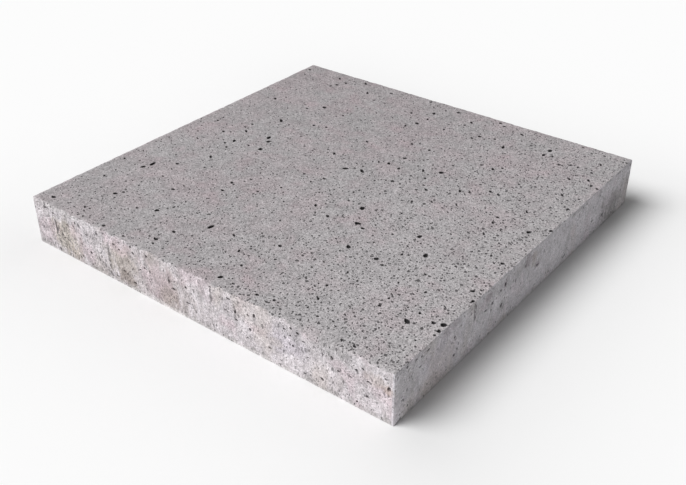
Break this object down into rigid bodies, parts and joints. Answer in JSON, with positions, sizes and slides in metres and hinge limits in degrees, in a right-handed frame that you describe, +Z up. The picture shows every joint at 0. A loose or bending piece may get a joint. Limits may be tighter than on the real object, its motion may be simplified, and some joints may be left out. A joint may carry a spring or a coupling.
{
  "type": "concrete paving slab",
  "caption": "Square, flat slab of pressed concrete with an open-pored wearing face, rubbed arrises and plain upright sides, laid flat as paving.",
  "frame": {"origin": "centre of the bed face, which lies on the floor", "axes": "+Z up through the thickness, out of the wearing face; X and Y along the two sides"},
  "size_m": [0.5, 0.5, 0.06],
  "materials": {
    "concrete": "matt grey pressed concrete, open-pored on the wearing face, paler laitance on the sides"
  },
  "bodies": {
    "root": {"paving_slab": "concrete"}
  },
  "joints": []
}
